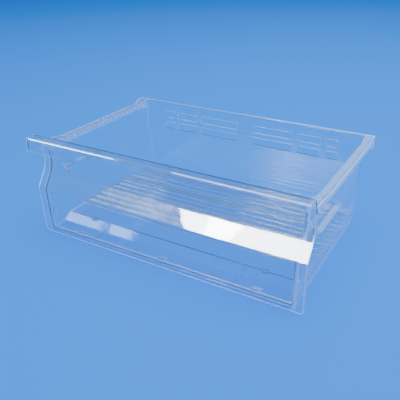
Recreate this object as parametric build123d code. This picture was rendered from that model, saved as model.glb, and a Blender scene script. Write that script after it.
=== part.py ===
"""Clear freezer drawer: an open moulded tub closed by a clip-on front panel.

Millimetres. X runs across the width, -Y is the front, +Z is up. The origin is
the middle of the bounding box's bottom face, so the drawer stands on Z = 0.
A profile is drawn in the YZ plane, as (distance behind the foremost edge,
height), and stretched across X.
"""
from build123d import *
import os
from math import atan2, cos, tan

# ---- overall ---------------------------------------------------------------
WIDTH = 460.0            # front panel, edge to edge
DEPTH = 310.0            # grip lip to rear rim
HEIGHT = 169.0           # standing surface to the top of the grip

# ---- front panel -----------------------------------------------------------
PANEL_T = 2.5            # sheet thickness
LIP_DROP = 21.5          # height of the grip's front lip
LIP_LEAN = 3.0           # how far the lip's lower edge stands forward
GRIP_DEPTH = 18.0        # top face of the grip, front to back
GRIP_BACK_DROP = 28.0    # foot of the sloping back of the grip, below the top
RECESS = 33.0            # recess face, behind the foremost edge
SLOPE_TOP_DROP = 54.6    # where the recess would meet the slope, below the top
CREASE_DROP = 88.0       # crease, below the top
CREASE_Y = 11.0          # crease, behind the foremost edge
FOOT_Y = 14.5            # panel's foot, behind the foremost edge
RECESS_R = 45.0          # scoop radius between recess and slope
CREASE_R = 3.0           # crease radius
GRIP_R = 2.0             # rounding of the grip's bends
GRIP_BACK_R = 3.0        # rounding between the grip's top and its sloping back
LIP_EDGE_R = 1.0         # rounding of the lip's lower edge
CAP_T = 2.5              # end caps of the grip
CORNER_R = 4.0           # lower outer corners of the panel

# ---- tub -------------------------------------------------------------------
WALL = 2.5               # moulded wall
PANEL_OVERHANG = 12.5    # panel past the side wall, at the wall's top
SIDE_DRAFT = 3.0         # each side wall leans in by this much at its foot
REAR_DRAFT = 2.5         # the rear wall leans in by this much at its foot
REAR_RIM = 3.0           # rear rim past the rear wall
REAR_R = 9.0             # outside radius of the rear corners
RIM_FRONT_DROP = 16.0    # side rim beside the panel, below the grip's top
RAIL_DROP = 20.0         # side rim along its slide track
REAR_DROP = 14.5         # rear rim
RAIL_START = 79.0        # slide track begins, behind the foremost edge
RAIL_RAMP = 24.0         # slope from the front rim down to the track
REAR_BLOCK = 18.0        # raised block at the track's rear end
BLOCK_RAMP = 9.0         # slope from the track up to the block
RIM_R = 2.0              # rounding of the rim's inner edge
LIP_T = 2.0              # downturned outer lip of the side rim
LIP_FALL = 7.5           # its height
HOOK_LENGTH = 52.0       # rear stretch of the lip that deepens
HOOK_FALL = 8.5          # how much deeper it gets
RIB_PITCH = 12.0         # cross ribs under the slide track
RIB_T = 1.6
RIB_FALL = 6.0           # ribs reach this far below the track's top

# ---- floor -----------------------------------------------------------------
LOW_FLOOR_Z = 10.5       # top of the low floor behind the panel
HIGH_FLOOR_Z = 19.5      # top of the raised floor
RAMP_START = 42.0        # ramp foot, behind the foremost edge
RAMP_END = 59.0          # ramp head
FLOOR_R = 3.0            # bend radius of the ramp
WAVE_START = 94.0        # corrugations begin
WAVE_PITCH = 16.8
WAVE_HEIGHT = 3.0        # valley to crest
WAVE_MARGIN = 16.0       # flat strip in front of the rear wall
DIVIDER_X = 124.0        # low ribs that run over the ramp
DIVIDER_T = 2.0
DIVIDER_RISE = 1.6
NUB_X = 157.0            # small stops at the ramp's head
NUB_W = 9.0
NUB_FRONT = 4.0          # ahead of the ramp's head
NUB_REAR = 1.0           # past the ramp's head
NUB_RISE = (0.5, 1.5)    # above the raised floor, at the front and at the rear

# ---- rear vents ------------------------------------------------------------
VENT_CENTRE_GAP = 29.0   # solid strip between the two longest vents
VENT_LENGTHS = (78.0, 43.0, 22.0)
VENT_BRIDGE = 8.0
VENT_HEIGHT = 13.0
VENT_TOP_DROP = 31.6     # top of the upper row, below the grip's top
VENT_ROW_PITCH = 21.5
VENT_R = 3.0

# ---- side ledges -----------------------------------------------------------
LEDGE_START = 69.0       # behind the foremost edge
LEDGE_LENGTH = 82.0
LEDGE_DROP = 69.0        # top of the ledge, below the grip's top
LEDGE_REACH = 11.5       # out from the side wall
LEDGE_T = 2.5
LEDGE_BEAD = 2.0         # raised bead along the outer edge
LEDGE_GUSSET = 13.0      # height of the gusset at each end
GUSSET_INSET = 1.0       # gusset's outer edge, in from the ledge's edge
DETENT_R = 6.0           # half-round notch in the bead
DETENT_BITE = 0.5        # the notch's depth below the ledge's top

# ---- joint between tub and panel -------------------------------------------
SEAT_GAP = 0.2           # tub's front edge to the panel's back
SIDE_GAP = 0.3           # locating rib to the tub
LOCATE_T = 1.5           # locating rib
LOCATE_DEPTH = 6.0
TAB_DEPTH = 14.0         # clip tabs
TAB_W = 16.0
CLIP_LOW_Z = 36.0        # lower side clips
CLIP_HIGH_DROP = 41.0    # upper side clips, below the top
CLIP_XS = (-157.0, 0.0, 157.0)
WINDOW_W = 11.0
WINDOW_START = 5.0       # from the panel's back
WINDOW_DEPTH = 5.0
BARB_GAP = 0.4           # catch to its window
BARB_PROUD = 1.6
BARB_FLAT = 1.0          # flat end of a catch, behind its ramp

# ---- worked out ------------------------------------------------------------
FRONT = -DEPTH / 2
HALF = WIDTH / 2
WALL_TOP_X = HALF - PANEL_OVERHANG
CREASE_Z = HEIGHT - CREASE_DROP
CLIP_HEIGHTS = (CLIP_LOW_Z, HEIGHT - CLIP_HIGH_DROP)
RAIL_Z = HEIGHT - RAIL_DROP
RIM_FRONT_Z = HEIGHT - RIM_FRONT_DROP
REAR_TOP_Z = HEIGHT - REAR_DROP
REAR_WALL_Y = DEPTH - REAR_RIM
FAR = 3 * DEPTH          # reaches past everything


def wall_x(z):
    """Outer face of the side wall at height z."""
    return WALL_TOP_X - SIDE_DRAFT * (1 - z / REAR_TOP_Z)


def yz(points, radii=None):
    """Closed outline in the YZ plane from (distance behind the front, height)."""
    spots = [(FRONT + y, z) for y, z in points]
    if radii is None:
        return Plane.YZ * make_face(Polyline(*spots, close=True))
    return Plane.YZ * make_face(FilletPolyline(*spots, radius=radii, close=True))


def across(face, x0, x1):
    """Stretch a YZ face from x0 to x1."""
    return Pos(x0, 0, 0) * extrude(face, amount=x1 - x0, dir=(1, 0, 0))


def both_sides(solid):
    """A solid and its mirror image on the other side."""
    return [solid, mirror(solid, Plane.YZ)]


def box(x0, x1, y0, y1, z0, z1):
    """Box between limits; y counts from the foremost edge."""
    size = (x1 - x0, y1 - y0, z1 - z0)
    centre = ((x0 + x1) / 2, FRONT + (y0 + y1) / 2, (z0 + z1) / 2)
    return Pos(*centre) * Box(*size)


# ---- panel profile ---------------------------------------------------------
def panel_front_line():
    """Recess, slope and lower face of the panel's front, from top to foot."""
    return [
        (RECESS, HEIGHT - GRIP_BACK_DROP),
        (RECESS, HEIGHT - SLOPE_TOP_DROP),
        (CREASE_Y, CREASE_Z),
        (FOOT_Y, 0.0),
    ]


def shifted_line(offset):
    """The same line moved back from the front face by a thickness."""
    slope_angle = atan2(RECESS - CREASE_Y, HEIGHT - SLOPE_TOP_DROP - CREASE_Z)
    foot_angle = atan2(FOOT_Y - CREASE_Y, CREASE_Z)
    bend = tan(slope_angle / 2)
    turn = (slope_angle + foot_angle) / 2
    crease_y = CREASE_Y + offset * cos(turn - foot_angle) / cos(turn)
    crease_z = CREASE_Z - offset * (slope_angle - foot_angle) / 2
    return [
        (RECESS + offset, HEIGHT - GRIP_BACK_DROP),
        (RECESS + offset, HEIGHT - SLOPE_TOP_DROP - offset * bend),
        (crease_y, crease_z),
        (FOOT_Y + offset / cos(foot_angle), 0.0),
    ]


def grip_back_y(z, offset):
    """Sloping back of the grip: its face at height z, moved back by offset."""
    share = (z - (HEIGHT - GRIP_BACK_DROP)) / GRIP_BACK_DROP
    top = GRIP_DEPTH + LIP_LEAN
    return RECESS + PANEL_T + offset - share * (RECESS + PANEL_T - top)


def panel_profile():
    """The whole sheet: lower face, scoop, grip back, grip top and lip."""
    back = shifted_line(PANEL_T)
    front = panel_front_line()
    under_top = HEIGHT - PANEL_T
    grip_top = [
        (GRIP_DEPTH + LIP_LEAN, HEIGHT),
        (LIP_LEAN, HEIGHT),
        (0.0, HEIGHT - LIP_DROP),
        (PANEL_T, HEIGHT - LIP_DROP),
        (PANEL_T + LIP_LEAN, under_top),
        (grip_back_y(under_top, -PANEL_T), under_top),
    ]
    outline = back[::-1] + grip_top + front
    back_radii = [0, CREASE_R, RECESS_R + PANEL_T, GRIP_R]
    top_radii = [GRIP_BACK_R, GRIP_R, LIP_EDGE_R, LIP_EDGE_R, GRIP_R, GRIP_R]
    front_radii = [GRIP_R, RECESS_R, CREASE_R, 0]
    return yz(outline, back_radii + top_radii + front_radii)


def behind_panel(near, far):
    """Band behind the panel, between two distances from its front face."""
    inner = shifted_line(near)
    outer = shifted_line(far)
    top_in = (grip_back_y(HEIGHT, near - PANEL_T), HEIGHT)
    top_out = (grip_back_y(HEIGHT, far - PANEL_T), HEIGHT)
    outline = inner[::-1] + [top_in, top_out] + outer
    inner_radii = [0, CREASE_R, RECESS_R + near, GRIP_R]
    outer_radii = [GRIP_R, RECESS_R + far, CREASE_R, 0]
    return yz(outline, inner_radii + [0, 0] + outer_radii)


def ahead_of(offset):
    """All the room in front of a line at a distance behind the panel's front."""
    top = (grip_back_y(HEIGHT, offset - PANEL_T), HEIGHT)
    outline = [(-DEPTH, 0.0), (-DEPTH, HEIGHT), top] + shifted_line(offset)
    return yz(outline, [0, 0, 0, GRIP_R, RECESS_R + offset, CREASE_R, 0])


def grip_end_cap():
    """Plate that closes each end of the hollow grip."""
    outline = [
        (LIP_LEAN, HEIGHT),
        (GRIP_DEPTH + LIP_LEAN, HEIGHT),
        (RECESS + PANEL_T, HEIGHT - GRIP_BACK_DROP),
        (RECESS, HEIGHT - GRIP_BACK_DROP),
        (0.0, HEIGHT - LIP_DROP),
    ]
    radii = [GRIP_R, GRIP_BACK_R, LIP_EDGE_R, 0, LIP_EDGE_R]
    return across(yz(outline, radii), HALF - CAP_T, HALF)


def locating_slab(depth, z0, z1):
    """Slanted rib beside the side wall, behind the panel."""
    gap = SIDE_GAP
    corners = [
        (wall_x(z0) + gap, z0),
        (wall_x(z0) + gap + LOCATE_T, z0),
        (wall_x(z1) + gap + LOCATE_T, z1),
        (wall_x(z1) + gap, z1),
    ]
    face = Plane.XZ * make_face(Polyline(*corners, close=True))
    slab = extrude(face, amount=DEPTH, both=True)
    band = across(behind_panel(PANEL_T / 2, PANEL_T + depth), -FAR, FAR)
    return slab & band


def panel_back_y(z):
    """Back face of the panel at height z, on its straight stretches."""
    line = shifted_line(PANEL_T)
    for (y1, z1), (y0, z0) in zip(line, line[1:]):
        if z >= z0:
            return y0 + (y1 - y0) * (z - z0) / (z1 - z0)
    return line[-1][0]


def under_floor_z():
    """Top of the parts of the panel that pass under the low floor."""
    return LOW_FLOOR_Z - WALL - SIDE_GAP


def make_front_panel():
    sheet = across(panel_profile(), -HALF, HALF)
    foot = [e for e in sheet.edges().filter_by(Axis.Y) if e.center().Z < 1]
    sheet = fillet(foot, CORNER_R)
    parts = both_sides(grip_end_cap())
    rib_top = RAIL_Z - WALL - LIP_FALL
    rib_foot = under_floor_z() - LOCATE_T
    parts += both_sides(locating_slab(LOCATE_DEPTH, rib_foot, rib_top))
    for z in CLIP_HEIGHTS:
        tab = locating_slab(TAB_DEPTH, z - TAB_W / 2, z + TAB_W / 2)
        start = panel_back_y(z) + WINDOW_START
        window = box(0, HALF, start, start + WINDOW_DEPTH, z - WINDOW_W / 2, z + WINDOW_W / 2)
        parts += both_sides(tab - window)
    reach = wall_x(0) - WALL - SIDE_GAP
    shelf_top = under_floor_z()
    back = panel_back_y(shelf_top)
    parts.append(box(-reach, reach, back - PANEL_T / 2, back + LOCATE_DEPTH, rib_foot, shelf_top))
    for x in CLIP_XS:
        tab = box(x - TAB_W / 2, x + TAB_W / 2, back - PANEL_T / 2, back + TAB_DEPTH, rib_foot, shelf_top)
        start = back + WINDOW_START
        window = box(x - WINDOW_W / 2, x + WINDOW_W / 2, start, start + WINDOW_DEPTH, 0, HEIGHT)
        parts.append(tab - window)
    for piece in parts:
        sheet += piece
    for x in CLIP_XS:
        start = back + WINDOW_START
        sheet -= box(x - WINDOW_W / 2, x + WINDOW_W / 2, start, start + WINDOW_DEPTH, 0, shelf_top + 1)
    for z in CLIP_HEIGHTS:
        start = panel_back_y(z) + WINDOW_START
        window = box(wall_x(0), HALF, start, start + WINDOW_DEPTH, z - WINDOW_W / 2, z + WINDOW_W / 2)
        for piece in both_sides(window):
            sheet -= piece
    return sheet


# ---- tub -------------------------------------------------------------------
def drafted_block(inset):
    """Solid between the drafted walls, moved in by a wall thickness."""
    def outline(z, half, rear):
        spots = [
            (-half, FRONT - DEPTH),
            (half, FRONT - DEPTH),
            (half, FRONT + rear),
            (-half, FRONT + rear),
        ]
        radii = [0, 0, REAR_R - inset, REAR_R - inset]
        return Pos(0, 0, z) * make_face(FilletPolyline(*spots, radius=radii, close=True))
    foot_half = wall_x(0) - inset
    top_half = wall_x(HEIGHT) - inset
    top_rear = REAR_WALL_Y - inset + REAR_DRAFT * (HEIGHT - REAR_TOP_Z) / REAR_TOP_Z
    foot_rear = REAR_WALL_Y - REAR_DRAFT - inset
    return loft([outline(0, foot_half, foot_rear), outline(HEIGHT, top_half, top_rear)], ruled=True)


def rim_line(drop=0.0):
    """Top of the side rim from front to rear, lowered by drop."""
    block = DEPTH - REAR_BLOCK
    return [
        (0.0, RIM_FRONT_Z - drop),
        (RAIL_START - RAIL_RAMP, RIM_FRONT_Z - drop),
        (RAIL_START, RAIL_Z - drop),
        (block - BLOCK_RAMP, RAIL_Z - drop),
        (block, REAR_TOP_Z - drop),
        (DEPTH, REAR_TOP_Z - drop),
    ]


def on_rim_line(spot):
    """Whether a point lies on the rim's top line."""
    line = rim_line()
    for (y0, z0), (y1, z1) in zip(line, line[1:]):
        y = spot.Y - FRONT
        if y0 < y < y1:
            return abs(spot.Z - z0 - (z1 - z0) * (y - y0) / (y1 - y0)) < 0.01
    return False


def above_rim(drop):
    """Everything higher than the rim's top lowered by drop."""
    outline = rim_line(drop) + [(2 * DEPTH, REAR_TOP_Z - drop), (2 * DEPTH, 2 * HEIGHT), (0.0, 2 * HEIGHT)]
    return across(yz(outline), -FAR, FAR)


def side_rim():
    """Flange of one side: plate, downturned lip with its rear hook, cross ribs."""
    inner = WALL_TOP_X - WALL
    plate = across(yz(rim_line() + rim_line(WALL)[::-1]), inner, HALF)
    brow = [e for e in plate.faces().sort_by(Axis.X)[0].edges() if on_rim_line(e.center())]
    plate = fillet(brow, RIM_R)
    lip_foot = rim_line(LIP_FALL)[:3]
    lip_foot += [
        (DEPTH - HOOK_LENGTH, RAIL_Z - LIP_FALL),
        (DEPTH - LIP_FALL, RAIL_Z - LIP_FALL - HOOK_FALL),
        (DEPTH, RAIL_Z - LIP_FALL - HOOK_FALL),
    ]
    rim = plate + across(yz(rim_line() + lip_foot[::-1]), HALF - LIP_T, HALF)
    track = DEPTH - REAR_BLOCK - BLOCK_RAMP - RAIL_START
    count = int(track // RIB_PITCH)
    first = RAIL_START + (track - (count - 1) * RIB_PITCH) / 2
    for i in range(count):
        y = first + i * RIB_PITCH
        rim += box(WALL_TOP_X - WALL / 2, HALF - LIP_T / 2, y - RIB_T / 2, y + RIB_T / 2,
                   RAIL_Z - RIB_FALL, RAIL_Z - WALL / 2)
    return rim


def floor_top_edges(lift=0.0):
    """Floor line from the panel to the rear wall, as edges in (y, z)."""
    low = LOW_FLOOR_Z + lift
    high = HIGH_FLOOR_Z + lift
    start = FRONT + WAVE_START
    path = FilletPolyline(
        (FRONT, low),
        (FRONT + RAMP_START, low),
        (FRONT + RAMP_END, high),
        (start, high),
        radius=FLOOR_R,
    )
    edges = list(path.edges())
    run = DEPTH - REAR_RIM - WAVE_MARGIN - WAVE_START
    waves = int(run // WAVE_PITCH)
    half_wave = WAVE_PITCH / 2
    for i in range(waves * 2):
        y = start + i * half_wave
        swell = WAVE_HEIGHT / 2 * (1 if i % 2 == 0 else -1)
        edges.append(ThreePointArc((y, high), (y + half_wave / 2, high + swell), (y + half_wave, high)))
    edges.append(Line((start + waves * WAVE_PITCH, high), (FRONT + 2 * DEPTH, high)))
    return edges


def make_floor(block):
    top = floor_top_edges()
    foot = floor_top_edges(-WALL)
    front = Line((FRONT, LOW_FLOOR_Z - WALL), (FRONT, LOW_FLOOR_Z))
    end = FRONT + 2 * DEPTH
    rear = Line((end, HIGH_FLOOR_Z - WALL), (end, HIGH_FLOOR_Z))
    face = Plane.YZ * make_face(Wire(top + [rear] + foot + [front]))
    sheet = across(face, -HALF, HALF) & block
    rise = [
        (0.0, LOW_FLOOR_Z - WALL / 2),
        (RAMP_START, LOW_FLOOR_Z - WALL / 2),
        (RAMP_END, HIGH_FLOOR_Z - WALL / 2),
        (RAMP_END, HIGH_FLOOR_Z + DIVIDER_RISE / 2),
        (RAMP_START, LOW_FLOOR_Z + DIVIDER_RISE),
        (0.0, LOW_FLOOR_Z + DIVIDER_RISE),
    ]
    for rib in both_sides(across(yz(rise), DIVIDER_X - DIVIDER_T / 2, DIVIDER_X + DIVIDER_T / 2)):
        sheet += rib
    nub = [
        (RAMP_END - NUB_FRONT, HIGH_FLOOR_Z - WALL),
        (RAMP_END + NUB_REAR, HIGH_FLOOR_Z - WALL / 2),
        (RAMP_END + NUB_REAR, HIGH_FLOOR_Z + NUB_RISE[1]),
        (RAMP_END - NUB_FRONT, HIGH_FLOOR_Z + NUB_RISE[0]),
    ]
    for piece in both_sides(across(yz(nub), NUB_X - NUB_W / 2, NUB_X + NUB_W / 2)):
        sheet += piece
    return sheet


def vents():
    """Two rows of rounded slots through the rear wall, mirrored about the middle."""
    cutters = []
    for row in range(2):
        z = HEIGHT - VENT_TOP_DROP - VENT_HEIGHT / 2 - row * VENT_ROW_PITCH
        x = VENT_CENTRE_GAP / 2
        for length in VENT_LENGTHS:
            face = Plane.XZ * RectangleRounded(length, VENT_HEIGHT, VENT_R)
            slot = Pos(x + length / 2, FRONT + REAR_WALL_Y, z) * extrude(face, amount=4 * WALL, both=True)
            cutters += both_sides(slot)
            x += length + VENT_BRIDGE
    return cutters


def side_ledge():
    """Ledge outside the side wall, with its bead, detent and end gussets."""
    top = HEIGHT - LEDGE_DROP
    end = LEDGE_START + LEDGE_LENGTH
    root = wall_x(top - LEDGE_GUSSET) - WALL / 2
    tip = wall_x(top) + LEDGE_REACH
    ledge = box(root, tip, LEDGE_START, end, top - LEDGE_T, top)
    ledge += box(tip - LEDGE_BEAD, tip, LEDGE_START, end, top - LEDGE_T, top + LEDGE_BEAD)
    middle = FRONT + (LEDGE_START + end) / 2
    notch = Rot(0, 90, 0) * Cylinder(DETENT_R, 4 * LEDGE_BEAD)
    notch = Pos(tip, middle, top + DETENT_R - DETENT_BITE) * notch
    ledge -= notch
    drop = [
        (root, top - LEDGE_T / 2),
        (tip - GUSSET_INSET, top - LEDGE_T / 2),
        (root + WALL, top - LEDGE_GUSSET),
        (root, top - LEDGE_GUSSET),
    ]
    face = Plane.XZ * make_face(Polyline(*drop, close=True))
    for y in (LEDGE_START, end - LEDGE_T):
        gusset = Pos(0, FRONT + y + LEDGE_T, 0) * extrude(face, amount=LEDGE_T, dir=(0, -1, 0))
        ledge += gusset
    return ledge


def side_barb(z):
    """Catch on the side wall that snaps into the panel's tab."""
    start = panel_back_y(z) + WINDOW_START + BARB_GAP
    end = start + WINDOW_DEPTH - 2 * BARB_GAP
    root = wall_x(z) - WALL / 2
    tip = wall_x(z) + BARB_PROUD
    corners = [(root, start), (wall_x(z), start), (tip, end - BARB_FLAT), (tip, end), (root, end)]
    face = make_face(Polyline(*[(x, FRONT + y) for x, y in corners], close=True))
    width = WINDOW_W - 2 * BARB_GAP
    return Pos(0, 0, z - width / 2) * extrude(face, amount=width)


def floor_barb(x):
    """Catch under the low floor that snaps into the panel's tab."""
    start = panel_back_y(under_floor_z()) + WINDOW_START + BARB_GAP
    end = start + WINDOW_DEPTH - 2 * BARB_GAP
    under = LOW_FLOOR_Z - WALL
    outline = [
        (start, under + WALL / 2),
        (start, under),
        (end - BARB_FLAT, under - BARB_PROUD),
        (end, under - BARB_PROUD),
        (end, under + WALL / 2),
    ]
    half = WINDOW_W / 2 - BARB_GAP
    return across(yz(outline), x - half, x + half)


def make_tub():
    outside = drafted_block(0.0)
    inside = drafted_block(WALL)
    tub = outside - inside - Compound(vents())
    tub += make_floor(drafted_block(WALL / 2))
    tub -= above_rim(RIM_R)
    for rim in both_sides(side_rim()):
        tub += rim
    rear = box(-HALF, HALF, REAR_WALL_Y - WALL, DEPTH, REAR_TOP_Z - WALL, REAR_TOP_Z)
    tub += rear - inside
    tub -= across(ahead_of(PANEL_T + SEAT_GAP), -FAR, FAR)
    for ledge in both_sides(side_ledge()):
        tub += ledge
    for z in CLIP_HEIGHTS:
        for barb in both_sides(side_barb(z)):
            tub += barb
    for x in CLIP_XS:
        tub += floor_barb(x)
    return tub


PARTS = {
    "drawer_tub": make_tub,
    "front_panel": make_front_panel,
}

os.makedirs("parts", exist_ok=True)
for node, maker in PARTS.items():
    shape = maker()
    export_step(shape, f"parts/{node}.step")
    size = shape.bounding_box()
    print(node, len(shape.solids()), round(shape.volume), size.min, size.max)
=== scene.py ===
"""Looks of the clear freezer drawer: clear moulded plastic, studio floor, soft light.

Lengths are metres in the drawer's frame: X to the right, -Y to the front, Z up. A mask
runs from 0 to 1. Where its constant is a pair, the mask starts at the first value and is
full at the second. Where it is a triple, the mask covers the range between the first two
values, and its ends fade over the third. SIDE is the distance from the middle plane, and
FACING is how squarely a face looks along an axis. An amount of painted highlight, with its
painted glow, is 0 clear, 1 white, and MORE is what is added to it where a mask is 1.
"""

import math

import bpy
from mathutils import Matrix, Vector

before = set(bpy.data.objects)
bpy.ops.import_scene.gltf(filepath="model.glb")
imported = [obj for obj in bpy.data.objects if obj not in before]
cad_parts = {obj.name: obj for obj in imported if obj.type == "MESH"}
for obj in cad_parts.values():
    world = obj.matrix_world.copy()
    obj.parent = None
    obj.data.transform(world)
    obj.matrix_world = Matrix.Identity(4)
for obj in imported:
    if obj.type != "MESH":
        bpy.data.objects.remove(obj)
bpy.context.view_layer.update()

# ---- camera and material settings ------------------------------------------
CAMERA_AT = (0.3916, -0.6814, 0.4543)
CAMERA_YAW = 30.416          # degrees, to the left of straight back
CAMERA_PITCH = 27.210        # degrees, downwards
CAMERA_ROLL = 0.540
CAMERA_LENS = 47.49          # millimetres
SENSOR_WIDTH = 36.0          # millimetres

CLEAR_TINT = (0.965, 0.99, 1.0)
# colour of the painted highlights, a whitish layer standing in for reflections and glints
PAINTED_HIGHLIGHT_COLOR = (0.36, 0.58, 1.0)
SHADOW_TINT = (0.84, 0.92, 0.98)
EDGE_GLOW = (0.30, 0.56, 1.0)    # painted glow of every highlighted area, standing in for light piped through the sheet to its edges
IOR = 1.59
HAZE = 0.008  # even haze on every surface; drawn with the painted-highlight layer, it carries a faint painted glow too
RIPPLE_STRENGTH = 0.10
RIPPLE_DEPTH = 0.002
RIPPLE_NOISE = (14.0, 2.0)  # scale and detail
SMEAR_NOISE = (90.0, 4.0)  # scale and detail
CLEAR_ROUGHNESS = (0.02, 0.06)
PAINTED_HIGHLIGHT_ROUGHNESS = 0.35
# strength of the painted glow
EDGE_GLOW_STRENGTH = 0.45
PAINTED_HIGHLIGHT_NOISE = (60.0, 3.0)  # scale and detail
PAINTED_HIGHLIGHT_PATCHES = (0.8, 1.0)  # the painted highlight keeps between these shares of its amount
NOISE_LOW = 0.3  # raw noise below this counts as none
NOISE_HIGH = 0.7  # and above this as full


# ---- camera ----------------------------------------------------------------
def make_camera():
    yaw = math.radians(CAMERA_YAW)
    pitch = math.radians(CAMERA_PITCH)
    roll = math.radians(CAMERA_ROLL)
    level = math.cos(pitch)
    forward = Vector((-math.sin(yaw) * level, math.cos(yaw) * level, -math.sin(pitch)))
    right = Vector((math.cos(yaw), math.sin(yaw), 0.0))
    down = forward.cross(right)
    x_axis = right * math.cos(roll) + down * math.sin(roll)
    down_axis = down * math.cos(roll) - right * math.sin(roll)
    turn = Matrix((x_axis, -down_axis, -forward)).transposed().to_4x4()
    data = bpy.data.cameras.new("camera")
    data.lens = CAMERA_LENS
    data.sensor_width = SENSOR_WIDTH
    camera = bpy.data.objects.new("camera", data)
    bpy.context.scene.collection.objects.link(camera)
    camera.matrix_world = Matrix.Translation(CAMERA_AT) @ turn
    bpy.context.scene.camera = camera


# ---- node helpers ----------------------------------------------------------
class Look:
    """A material under construction, with short ways to add nodes."""

    def __init__(self, name):
        self.material = bpy.data.materials.new(name)
        self.material.use_nodes = True
        self.tree = self.material.node_tree
        self.tree.nodes.clear()
        self.out = self.tree.nodes.new("ShaderNodeOutputMaterial")
        self.coord = self.tree.nodes.new("ShaderNodeTexCoord").outputs["Object"]
        split = self.tree.nodes.new("ShaderNodeSeparateXYZ")
        self.link(self.coord, split.inputs[0])
        self.x, self.y, self.z = split.outputs

    def link(self, source, target):
        self.tree.links.new(source, target)

    def feed(self, socket, value):
        """Put a number or another node's output into a socket."""
        if isinstance(value, (int, float)):
            socket.default_value = value
        else:
            self.link(value, socket)

    def math(self, operation, a, b=0.0, clamp=False):
        node = self.tree.nodes.new("ShaderNodeMath")
        node.operation = operation
        node.use_clamp = clamp
        self.feed(node.inputs[0], a)
        self.feed(node.inputs[1], b)
        return node.outputs[0]

    def times(self, a, b):
        return self.math("MULTIPLY", a, b)

    def inverse(self, mask):
        return self.math("SUBTRACT", 1.0, mask)

    def rising(self, mask, base, more):
        """A base amount, and more of it where a mask is 1."""
        return self.math("ADD", self.times(mask, more), base)

    def step(self, value, low, high):
        """Smooth 0 to 1 from one value of an input to another, which may be the smaller one."""
        node = self.tree.nodes.new("ShaderNodeMapRange")
        node.interpolation_type = "SMOOTHSTEP"
        self.feed(node.inputs["Value"], value)
        node.inputs["From Min"].default_value = low
        node.inputs["From Max"].default_value = high
        return node.outputs["Result"]

    def span(self, value, low, high, soft):
        """1 inside a range of an input, 0 outside, with soft ends."""
        rise = self.step(value, low - soft, low)
        fall = self.step(value, high, high + soft)
        return self.math("SUBTRACT", rise, fall, clamp=True)

    def side(self):
        """Distance from the middle plane."""
        return self.math("ABSOLUTE", self.x)

    def facing(self, axis):
        """How squarely a face looks along an axis, 0 to 1."""
        split = self.tree.nodes.new("ShaderNodeSeparateXYZ")
        self.link(self.tree.nodes.new("ShaderNodeTexCoord").outputs["Normal"], split.inputs[0])
        return self.math("ABSOLUTE", split.outputs[axis])

    def all_of(self, *masks):
        total = masks[0]
        for mask in masks[1:]:
            total = self.times(total, mask)
        return total

    def sum_of(self, *masks):
        total = masks[0]
        for mask in masks[1:]:
            total = self.math("ADD", total, mask, clamp=True)
        return total

    def noise(self, scale, detail, low, high):
        """Noise stretched to a range."""
        node = self.tree.nodes.new("ShaderNodeTexNoise")
        node.inputs["Scale"].default_value = scale
        node.inputs["Detail"].default_value = detail
        self.link(self.coord, node.inputs["Vector"])
        reach = self.tree.nodes.new("ShaderNodeMapRange")
        self.link(node.outputs["Fac"], reach.inputs["Value"])
        reach.inputs["From Min"].default_value = NOISE_LOW
        reach.inputs["From Max"].default_value = NOISE_HIGH
        reach.inputs["To Min"].default_value = low
        reach.inputs["To Max"].default_value = high
        return reach.outputs["Result"]


# ---- clear plastic ---------------------------------------------------------
def clear_plastic(name, painted_highlights):
    """Clear polystyrene: refracting body, moulding ripple, and painted highlights with a painted
    glow where they are masked.
    """
    look = Look(name)
    tree = look.tree
    bump = tree.nodes.new("ShaderNodeBump")
    bump.inputs["Strength"].default_value = RIPPLE_STRENGTH
    bump.inputs["Distance"].default_value = RIPPLE_DEPTH
    look.link(look.noise(*RIPPLE_NOISE, 0.0, 1.0), bump.inputs["Height"])

    body = tree.nodes.new("ShaderNodeBsdfPrincipled")
    body.inputs["Base Color"].default_value = (*CLEAR_TINT, 1.0)
    body.inputs["IOR"].default_value = IOR
    body.inputs["Transmission Weight"].default_value = 1.0
    look.link(look.noise(*SMEAR_NOISE, *CLEAR_ROUGHNESS), body.inputs["Roughness"])
    look.link(bump.outputs["Normal"], body.inputs["Normal"])

    # Painted highlight: a rough whitish layer with its own painted glow, laid where the masks
    # say.
    painted_highlight = tree.nodes.new("ShaderNodeBsdfPrincipled")
    painted_highlight.inputs["Base Color"].default_value = (*PAINTED_HIGHLIGHT_COLOR, 1.0)
    painted_highlight.inputs["IOR"].default_value = IOR
    painted_highlight.inputs["Roughness"].default_value = PAINTED_HIGHLIGHT_ROUGHNESS
    painted_highlight.inputs["Emission Color"].default_value = (*EDGE_GLOW, 1.0)
    painted_highlight.inputs["Emission Strength"].default_value = EDGE_GLOW_STRENGTH

    # Amount of painted highlight, varied at random in patches.
    amount = look.times(painted_highlights(look), look.noise(*PAINTED_HIGHLIGHT_NOISE, *PAINTED_HIGHLIGHT_PATCHES))
    amount = look.math("ADD", amount, HAZE, clamp=True)
    blend = tree.nodes.new("ShaderNodeMixShader")
    look.link(amount, blend.inputs[0])
    look.link(body.outputs[0], blend.inputs[1])
    look.link(painted_highlight.outputs[0], blend.inputs[2])

    # Shadow rays, and rays that leave a matt surface, pass straight through as a light tint.
    clear = tree.nodes.new("ShaderNodeBsdfTransparent")
    clear.inputs["Color"].default_value = (*SHADOW_TINT, 1.0)
    path = tree.nodes.new("ShaderNodeLightPath")
    passing = look.math("MAXIMUM", path.outputs["Is Shadow Ray"], path.outputs["Is Diffuse Ray"])
    surface = tree.nodes.new("ShaderNodeMixShader")
    look.link(passing, surface.inputs[0])
    look.link(blend.outputs[0], surface.inputs[1])
    look.link(clear.outputs[0], surface.inputs[2])
    look.link(surface.outputs[0], look.out.inputs["Surface"])
    return look.material


# ---- painted highlights on the tub -----------------------------------------
RIGHT_FROM_X = (-0.1, 0.1)  # painted highlights of the right side, where light falls differently, take over from the left side's

# Slide rims: painted highlights on rails and ribs, painted reflection on the plate.
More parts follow.
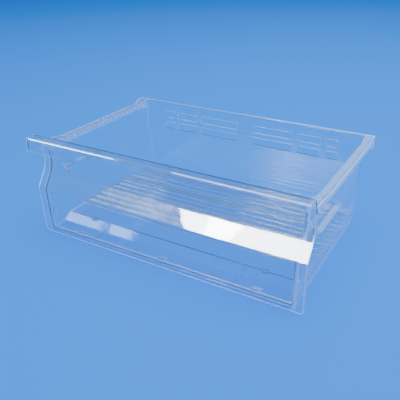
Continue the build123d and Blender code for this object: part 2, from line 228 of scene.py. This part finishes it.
RIM_FROM_SIDE = (0.2150, 0.2175)
RIM_FROM_Z = (0.1395, 0.1415)
OUTER_RAIL_SIDE = (0.2283, 0.2301, 0.0004)
INNER_RAIL_SIDE = (0.2150, 0.2172, 0.0004)
RAIL_PAINTED_HIGHLIGHT = 0.62
RIM_GROOVE_SIDE = (0.2262, 0.2270, 0.0003)
RIM_PLATE_PAINTED_REFLECTION = 0.34
RIB_SIDE = (0.2178, 0.2280, 0.0004)
RIB_Z = (0.1425, 0.1462, 0.0003)
RIB_FACING_Y = (0.4, 0.6)
RIB_PAINTED_HIGHLIGHT = 0.70
# Side ledges: painted highlight lines on the right, painted glints on the left.
LEDGE_FROM_SIDE = (0.2178, 0.2190)
LEDGE_Z = (0.084, 0.1035, 0.002)
LEDGE_PAINTED_HIGHLIGHT = 0.22
LEDGE_INNER_LINE_SIDE = (0.2214, 0.2220, 0.0003)
LEDGE_OUTER_LINE_SIDE = (0.2250, 0.2258, 0.0003)
LEDGE_LINE_PAINTED_HIGHLIGHT = 0.40
LEDGE_LEFT_PAINTED_HIGHLIGHT = 0.04
GUSSET_Y = (-0.0862, -0.0832, 0.0004)
GUSSET_FROM_SIDE = (0.2205, 0.2215)
NOTCH_Y = (-0.0530, -0.0370, 0.001)
NOTCH_FROM_Z = (0.0985, 0.0992)
PAINTED_GLINT = 0.60
# Vent slots: painted highlights on their edges, strongest along the tops.
REAR_WALL_FROM_Y = (0.1455, 0.1465)
VENT_EDGE_FACING_Y = (0.75, 0.45)
VENTS_Z = (0.098, 0.141, 0.002)
UPPER_VENT_TOPS_Z = (0.1362, 0.1385, 0.0004)
LOWER_VENT_TOPS_Z = (0.1147, 0.1170, 0.0004)
VENT_PAINTED_HIGHLIGHT = 0.75
VENT_END_SHARE = 0.6
VENT_REST_SHARE = 0.20
# Rear rim: painted highlight on its top, brighter to the right.
REAR_RIM_FROM_Y = (0.1490, 0.1505)
REAR_RIM_FROM_Z = (0.1525, 0.1535)
REAR_RIM_PAINTED_HIGHLIGHT = 0.28
REAR_RIM_PAINTED_HIGHLIGHT_MORE = 0.5
REAR_RIM_MORE_FROM_X = (-0.05, 0.08)
# Wall foot and low floor: painted highlights along bright edges.
WALL_FROM_SIDE = (0.2110, 0.2120)
WALL_FACING_X = (0.8, 0.9)
WALL_FOOT_TO_Z = (0.07, 0.01)
WALL_FOOT_PAINTED_HIGHLIGHT = 0.03
WALL_FOOT_PAINTED_HIGHLIGHT_MORE = 0.22
FLOOR_EDGE_SIDE = (0.2110, 0.2128, 0.0004)
FLOOR_EDGE_FACING_Z = (0.5, 0.7)
FLOOR_EDGE_Z = (0.0095, 0.0212, 0.0005)
FLOOR_EDGE_Y = (-0.142, -0.050, 0.004)
FLOOR_EDGE_PAINTED_HIGHLIGHT = 0.50
FLOOR_FRONT_Z = (0.0075, 0.0110, 0.0004)
FLOOR_FRONT_TO_Y = (-0.1340, -0.1355)
FLOOR_FRONT_PAINTED_HIGHLIGHT = 0.13


def rim_painted_highlights(look, side, right):
    """Slide rims: painted highlights on two rails and on cross ribs, and a painted reflection on
    the plate that brightens to the right.
    """
    on_rim = look.all_of(look.step(side, *RIM_FROM_SIDE), look.step(look.z, *RIM_FROM_Z))
    outer_rail = look.span(side, *OUTER_RAIL_SIDE)
    inner_rail = look.span(side, *INNER_RAIL_SIDE)
    rails = look.times(look.sum_of(outer_rail, inner_rail), RAIL_PAINTED_HIGHLIGHT)
    groove = look.span(side, *RIM_GROOVE_SIDE)
    plate = look.times(right, RIM_PLATE_PAINTED_REFLECTION)
    plate = look.times(plate, look.inverse(groove))
    rim = look.times(on_rim, look.sum_of(plate, rails))
    ribs = look.all_of(
        look.span(side, *RIB_SIDE),
        look.span(look.z, *RIB_Z),
        look.step(look.facing("Y"), *RIB_FACING_Y),
    )
    return rim, look.times(ribs, RIB_PAINTED_HIGHLIGHT)


def ledge_painted_highlights(look, side, right):
    """Side ledges: even painted highlight with two painted lines on the right, two painted
    glints on the left.
    """
    on_ledge = look.all_of(
        look.step(side, *LEDGE_FROM_SIDE),
        look.span(look.z, *LEDGE_Z),
    )
    inner_line = look.span(side, *LEDGE_INNER_LINE_SIDE)
    outer_line = look.span(side, *LEDGE_OUTER_LINE_SIDE)
    lined = look.rising(look.sum_of(inner_line, outer_line), LEDGE_PAINTED_HIGHLIGHT, LEDGE_LINE_PAINTED_HIGHLIGHT)
    gusset = look.all_of(look.span(look.y, *GUSSET_Y), look.step(side, *GUSSET_FROM_SIDE))
    notch = look.all_of(look.span(look.y, *NOTCH_Y), look.step(look.z, *NOTCH_FROM_Z))
    glints = look.rising(look.sum_of(gusset, notch), LEDGE_LEFT_PAINTED_HIGHLIGHT, PAINTED_GLINT)
    return (
        look.all_of(on_ledge, right, lined),
        look.all_of(on_ledge, look.inverse(right), glints),
    )


def vent_painted_highlights(look):
    """Painted highlights on the edges of the vent slots, strongest along their tops."""
    edges = look.all_of(
        look.step(look.y, *REAR_WALL_FROM_Y),
        look.step(look.facing("Y"), *VENT_EDGE_FACING_Y),
        look.span(look.z, *VENTS_Z),
    )
    upper_tops = look.span(look.z, *UPPER_VENT_TOPS_Z)
    lower_tops = look.span(look.z, *LOWER_VENT_TOPS_Z)
    ends = look.times(look.facing("X"), VENT_END_SHARE)
    lit = look.times(look.sum_of(upper_tops, lower_tops, ends, VENT_REST_SHARE), VENT_PAINTED_HIGHLIGHT)
    return look.times(edges, lit)


def rear_rim_painted_highlight(look):
    """Painted highlight on top of the rear rim, brighter to the right."""
    more = look.step(look.x, *REAR_RIM_MORE_FROM_X)
    return look.all_of(
        look.step(look.y, *REAR_RIM_FROM_Y),
        look.step(look.z, *REAR_RIM_FROM_Z),
        look.rising(more, REAR_RIM_PAINTED_HIGHLIGHT, REAR_RIM_PAINTED_HIGHLIGHT_MORE),
    )


def foot_painted_highlights(look, side, right):
    """Painted highlights on the lower part of the side walls, and on the left and front edges of
    the low floor.
    """
    foot = look.all_of(
        look.step(side, *WALL_FROM_SIDE),
        look.step(look.facing("X"), *WALL_FACING_X),
        look.step(look.z, *WALL_FOOT_TO_Z),
        look.rising(right, WALL_FOOT_PAINTED_HIGHLIGHT, WALL_FOOT_PAINTED_HIGHLIGHT_MORE),
    )
    floor_edge = look.all_of(
        look.span(side, *FLOOR_EDGE_SIDE),
        look.step(look.facing("Z"), *FLOOR_EDGE_FACING_Z),
        look.span(look.z, *FLOOR_EDGE_Z),
        look.span(look.y, *FLOOR_EDGE_Y),
        look.inverse(right),
    )
    floor_front = look.all_of(
        look.span(look.z, *FLOOR_FRONT_Z),
        look.step(look.y, *FLOOR_FRONT_TO_Y),
    )
    return (
        foot,
        look.times(floor_edge, FLOOR_EDGE_PAINTED_HIGHLIGHT),
        look.times(floor_front, FLOOR_FRONT_PAINTED_HIGHLIGHT),
    )


def tub_painted_highlights(look):
    """Where the tub gets painted highlights with their painted glow, 0 to 1."""
    side = look.side()
    right = look.step(look.x, *RIGHT_FROM_X)
    return look.sum_of(
        *rim_painted_highlights(look, side, right),
        *ledge_painted_highlights(look, side, right),
        vent_painted_highlights(look),
        rear_rim_painted_highlight(look),
        *foot_painted_highlights(look, side, right),
    )


# ---- painted highlights on the panel ---------------------------------------
# Panel ends and cap front: painted highlights along bright edges.
END_FROM_SIDE = (0.2276, 0.2284)
END_PAINTED_HIGHLIGHT = 0.55
CAP_Y = (-0.1528, -0.1225, 0.0004)
CAP_Z = (0.1440, 0.1672, 0.0004)
CAP_FACING_X = (0.7, 0.8)
CAP_FRONT_TO_Y = (-0.1508, -0.1516)
CAP_FRONT_PAINTED_HIGHLIGHT = 0.40
# Side strips: painted highlight, stronger on the right.
STRIP_SIDE = (0.2148, 0.2190, 0.0008)
STRIP_TO_Z = (0.1405, 0.1385)
STRIP_PAINTED_HIGHLIGHT = 0.12
STRIP_PAINTED_HIGHLIGHT_MORE = 0.12
# Brow and brim: painted highlight lines along the grip's top edges, strongest on the right.
BROW_TO_Y = (-0.1501, -0.1507)
BROW_FROM_Z = (0.1674, 0.1679)
BROW_PAINTED_HIGHLIGHT = 0.10
BROW_LEFT_PAINTED_HIGHLIGHT = 0.45
BROW_LEFT_TO_X = (-0.085, -0.125)
BROW_RIGHT_PAINTED_HIGHLIGHT = 0.80
BROW_RIGHT_FROM_X = (0.034, 0.040)
BRIM_TO_Y = (-0.1515, -0.1520)
BRIM_Z = (0.1470, 0.1484, 0.0003)
BRIM_TO_X = (-0.15, -0.18)
BRIM_PAINTED_HIGHLIGHT = 0.22
# Panel foot and shelf: painted highlight lines.
PANEL_FOOT_TO_Z = (0.0016, 0.0009)
PANEL_FOOT_PAINTED_HIGHLIGHT = 0.50
SHELF_Z = (0.0058, 0.0081, 0.0003)
SHELF_FROM_Y = (-0.1378, -0.1368)
SHELF_PAINTED_HIGHLIGHT = 0.13


def panel_painted_highlights(look):
    """Where the panel gets painted highlights with their painted glow, 0 to 1: ends, side
    strips, edges of the grip, foot.
    """
    side = look.side()
    outermost = look.step(side, *END_FROM_SIDE)
    cap = look.all_of(
        look.span(look.y, *CAP_Y),
        look.span(look.z, *CAP_Z),
        look.step(look.facing("X"), *CAP_FACING_X),
    )
    edge = look.times(outermost, look.inverse(cap))
    cap_front = look.all_of(outermost, look.step(look.y, *CAP_FRONT_TO_Y))

    strip = look.all_of(look.span(side, *STRIP_SIDE), look.step(look.z, *STRIP_TO_Z))
    strip_amount = look.rising(look.step(look.x, *RIGHT_FROM_X), STRIP_PAINTED_HIGHLIGHT, STRIP_PAINTED_HIGHLIGHT_MORE)

    brow = look.all_of(look.step(look.y, *BROW_TO_Y), look.step(look.z, *BROW_FROM_Z))
    brow_left = look.times(look.step(look.x, *BROW_LEFT_TO_X), BROW_LEFT_PAINTED_HIGHLIGHT)
    brow_right = look.times(look.step(look.x, *BROW_RIGHT_FROM_X), BROW_RIGHT_PAINTED_HIGHLIGHT)
    brim = look.all_of(
        look.step(look.y, *BRIM_TO_Y),
        look.span(look.z, *BRIM_Z),
        look.step(look.x, *BRIM_TO_X),
    )

    foot = look.step(look.z, *PANEL_FOOT_TO_Z)
    shelf = look.all_of(look.span(look.z, *SHELF_Z), look.step(look.y, *SHELF_FROM_Y))
    return look.sum_of(
        look.times(edge, END_PAINTED_HIGHLIGHT),
        look.times(cap_front, CAP_FRONT_PAINTED_HIGHLIGHT),
        look.times(strip, strip_amount),
        look.times(brow, look.sum_of(brow_left, brow_right, BROW_PAINTED_HIGHLIGHT)),
        look.times(brim, BRIM_PAINTED_HIGHLIGHT),
        look.times(foot, PANEL_FOOT_PAINTED_HIGHLIGHT),
        look.times(shelf, SHELF_PAINTED_HIGHLIGHT),
    )


# ---- studio ----------------------------------------------------------------
FLOOR_COLOR = (0.015, 0.27, 0.98)
FLOOR_NOISE = (40.0, 4.0)  # scale and detail
FLOOR_ROUGHNESS = (0.75, 0.85)
FLOOR_SIZE = 12.0
FLOOR_DROP = 0.0002  # below the feet, so that no faces coincide
SKY_COLOR = (0.30, 0.58, 1.0)
SKY_STRENGTH = 0.42


def make_floor():
    look = Look("studio_floor")
    body = look.tree.nodes.new("ShaderNodeBsdfPrincipled")
    body.inputs["Base Color"].default_value = (*FLOOR_COLOR, 1.0)
    body.inputs["Specular IOR Level"].default_value = 0.0
    look.link(look.noise(*FLOOR_NOISE, *FLOOR_ROUGHNESS), body.inputs["Roughness"])
    look.link(body.outputs[0], look.out.inputs["Surface"])
    bpy.ops.mesh.primitive_plane_add(size=FLOOR_SIZE, location=(0.0, 0.0, -FLOOR_DROP))
    floor = bpy.context.object
    floor.name = "studio_floor"
    floor.data.materials.append(look.material)


def softbox(name, at, target, size, energy, color=(1.0, 1.0, 1.0), shape="RECTANGLE"):
    """Lamp seen reflected in the plastic or through it; it lights no matt surface."""
    data = bpy.data.lights.new(name, "AREA")
    data.shape = shape
    data.size, data.size_y = size
    data.energy = energy
    data.color = color
    lamp = bpy.data.objects.new(name, data)
    bpy.context.scene.collection.objects.link(lamp)
    lamp.location = at
    aim = Vector(target) - Vector(at)
    lamp.rotation_mode = "QUATERNION"
    lamp.rotation_quaternion = aim.to_track_quat("-Z", "Y")
    lamp.visible_diffuse = False
    lamp.visible_camera = False
    return lamp


def make_world():
    world = bpy.data.worlds.new("studio")
    world.use_nodes = True
    sky = world.node_tree.nodes["Background"]
    sky.inputs["Color"].default_value = (*SKY_COLOR, 1.0)
    sky.inputs["Strength"].default_value = SKY_STRENGTH
    bpy.context.scene.world = world


# ---- assembly --------------------------------------------------------------
make_camera()
make_world()
make_floor()

looks = {
    "drawer_tub": clear_plastic("tub_clear_look", tub_painted_highlights),
    "front_panel": clear_plastic("panel_clear_look", panel_painted_highlights),
}
for node, look in looks.items():
    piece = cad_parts[node]
    for slot in piece.material_slots:
        slot.material = look

# The two front lamps make the white band on the panel's slope.
softbox(
    "front_softbox",
    at=(-0.05, -1.02, 0.70),
    target=(0.13, -0.133, 0.098),
    size=(0.70, 0.24),
    energy=45.0,
)
softbox(
    "front_softbox_end",
    at=(-0.385, -0.95, 0.70),
    target=(-0.05, -0.133, 0.098),
    size=(0.24, 0.24),
    energy=13.0,
    shape="DISK",
)
# The left lamp makes the pale patches on the ramp.
softbox(
    "left_softbox",
    at=(-0.985, -0.16, 0.95),
    target=(-0.15, -0.105, 0.015),
    size=(0.5, 0.55),
    energy=9.0,
    color=(0.42, 0.64, 1.0),
)
# The overhead lamp lights the floor and the painted highlights, and is never seen in the
# plastic.
overhead = softbox(
    "overhead",
    at=(0.5, 0.2, 3.4),
    target=(0.0, 0.3, 0.0),
    size=(3.2, 3.2),
    energy=185.0,
)
overhead.visible_diffuse = True
overhead.visible_glossy = False
overhead.visible_transmission = False
